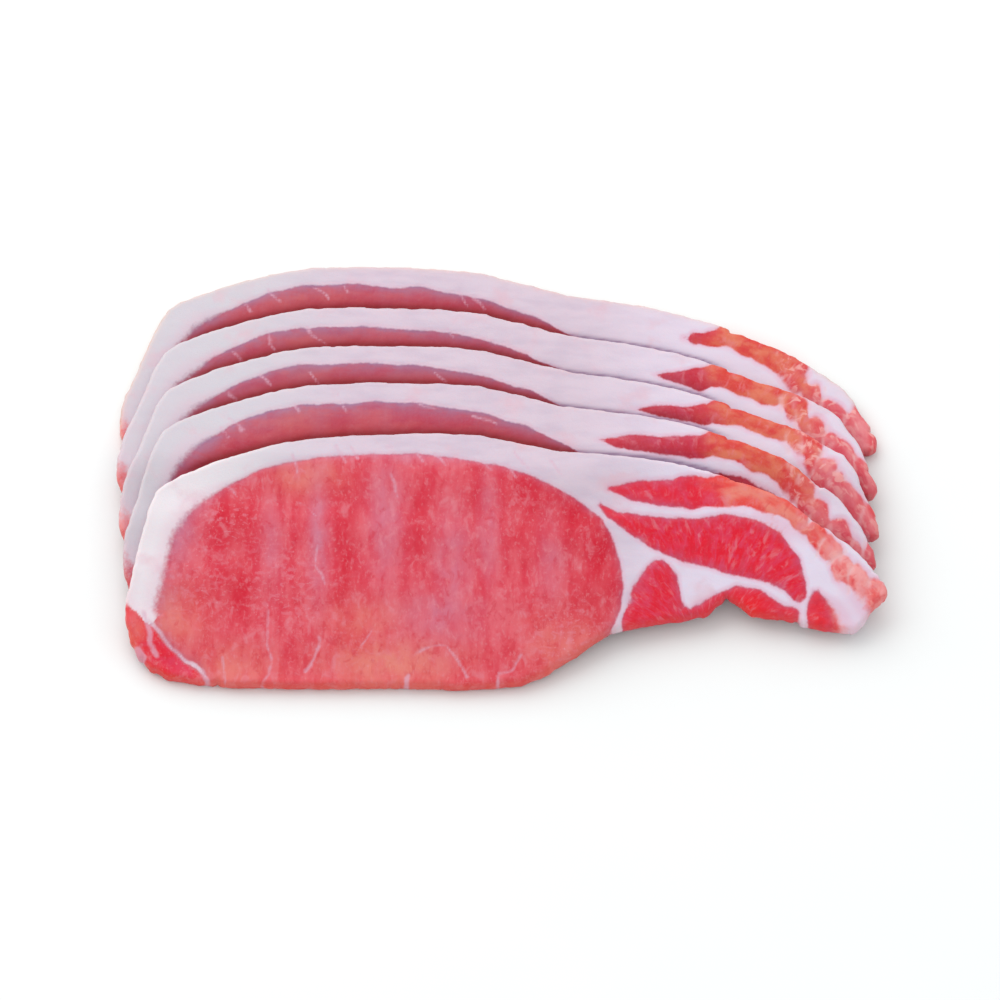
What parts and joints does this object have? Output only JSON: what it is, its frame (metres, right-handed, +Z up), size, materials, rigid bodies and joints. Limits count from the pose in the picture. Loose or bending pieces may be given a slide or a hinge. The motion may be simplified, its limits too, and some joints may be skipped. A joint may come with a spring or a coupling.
{
  "type": "stack of raw back bacon rashers",
  "caption": "Fanned stack of raw back bacon rashers, each draped over the one behind, with a round loin eye, a rim of white fat and a streaky flank end.",
  "frame": {"origin": "middle of the stack's bounding box, on the surface that the stack lies on", "axes": "+X along the rashers from the loin end to the flank tip, +Y from the front rasher to the back one, +Z up"},
  "size_m": [0.1742, 0.1102, 0.0186],
  "materials": {
    "fat": "raw white pork fat with a moist satin surface",
    "loin": "raw pink-red lean meat with fine grain and a moist surface",
    "flank": "raw deep-red to orange-red lean meat with a moist surface"
  },
  "bodies": {
    "root": {"slice_1_fat": "fat", "slice_1_eye": "loin", "slice_1_chain": "loin", "slice_1_flank_upper": "flank", "slice_1_flank_middle": "flank", "slice_1_flank_lower": "flank", "slice_1_flank_end": "flank", "slice_1_flank_tip": "flank", "slice_2_fat": "fat", "slice_2_eye": "loin", "slice_2_chain": "loin", "slice_2_flank_upper": "flank", "slice_2_flank_middle": "flank", "slice_2_flank_lower": "flank", "slice_2_flank_end": "flank", "slice_2_flank_tip": "flank", "slice_3_fat": "fat", "slice_3_eye": "loin", "slice_3_chain": "loin", "slice_3_flank_upper": "flank", "slice_3_flank_middle": "flank", "slice_3_flank_lower": "flank", "slice_3_flank_end": "flank", "slice_3_flank_tip": "flank", "slice_4_fat": "fat", "slice_4_eye": "loin", "slice_4_chain": "loin", "slice_4_flank_upper": "flank", "slice_4_flank_middle": "flank", "slice_4_flank_lower": "flank", "slice_4_flank_end": "flank", "slice_4_flank_tip": "flank", "slice_5_fat": "fat", "slice_5_eye": "loin", "slice_5_chain": "loin", "slice_5_flank_upper": "flank", "slice_5_flank_middle": "flank", "slice_5_flank_lower": "flank", "slice_5_flank_end": "flank", "slice_5_flank_tip": "flank"}
  },
  "joints": []
}
